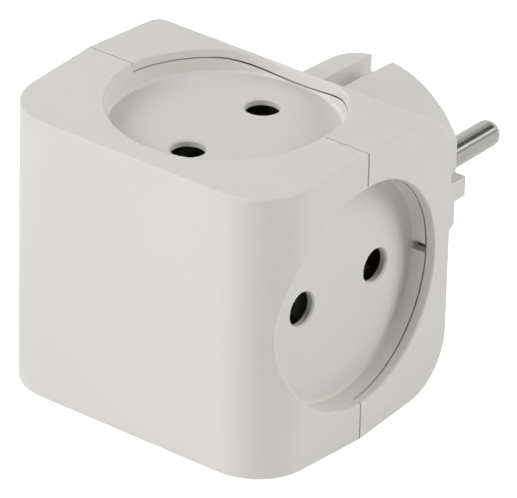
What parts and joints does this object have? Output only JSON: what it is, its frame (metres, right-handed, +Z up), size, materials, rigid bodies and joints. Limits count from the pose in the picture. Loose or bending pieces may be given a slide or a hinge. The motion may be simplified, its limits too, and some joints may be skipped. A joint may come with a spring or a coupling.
{
  "type": "multi socket adapter",
  "caption": "Cube-shaped plug adapter of pale moulded plastic: a round plug base with bare pins at the back, and round recessed sockets on the top and on both sides.",
  "frame": {"origin": "on the ground under the middle of the whole length, from the plain front face to the pin tips", "axes": "+X to the right along the plain front face, +Y from that face towards the pins, +Z up"},
  "size_m": [0.0574, 0.0844, 0.0519],
  "materials": {
    "housing": "satin moulded",
    "plated_pin": "polished nickel plate",
    "contact_brass": "stamped",
    "spring_bronze": "stamped",
    "rivet_brass": "headed",
    "screw_steel": "zinc plated",
    "insulator": "matte"
  },
  "bodies": {
    "root": {"front_shell": "housing", "rear_shell": "housing", "front_contact_bar": "contact_brass", "rear_contact_bar": "contact_brass", "insulating_partition": "insulator", "plug_pin_left": "plated_pin", "plug_pin_right": "plated_pin", "case_screw_left": "screw_steel", "case_screw_right": "screw_steel", "clip_top_front": "spring_bronze", "rivet_top_front": "rivet_brass", "clip_top_rear": "spring_bronze", "rivet_top_rear": "rivet_brass", "clip_right_front": "spring_bronze", "rivet_right_front": "rivet_brass", "clip_right_rear": "spring_bronze", "rivet_right_rear": "rivet_brass", "clip_left_front": "spring_bronze", "rivet_left_front": "rivet_brass", "clip_left_rear": "spring_bronze", "rivet_left_rear": "rivet_brass"}
  },
  "joints": []
}
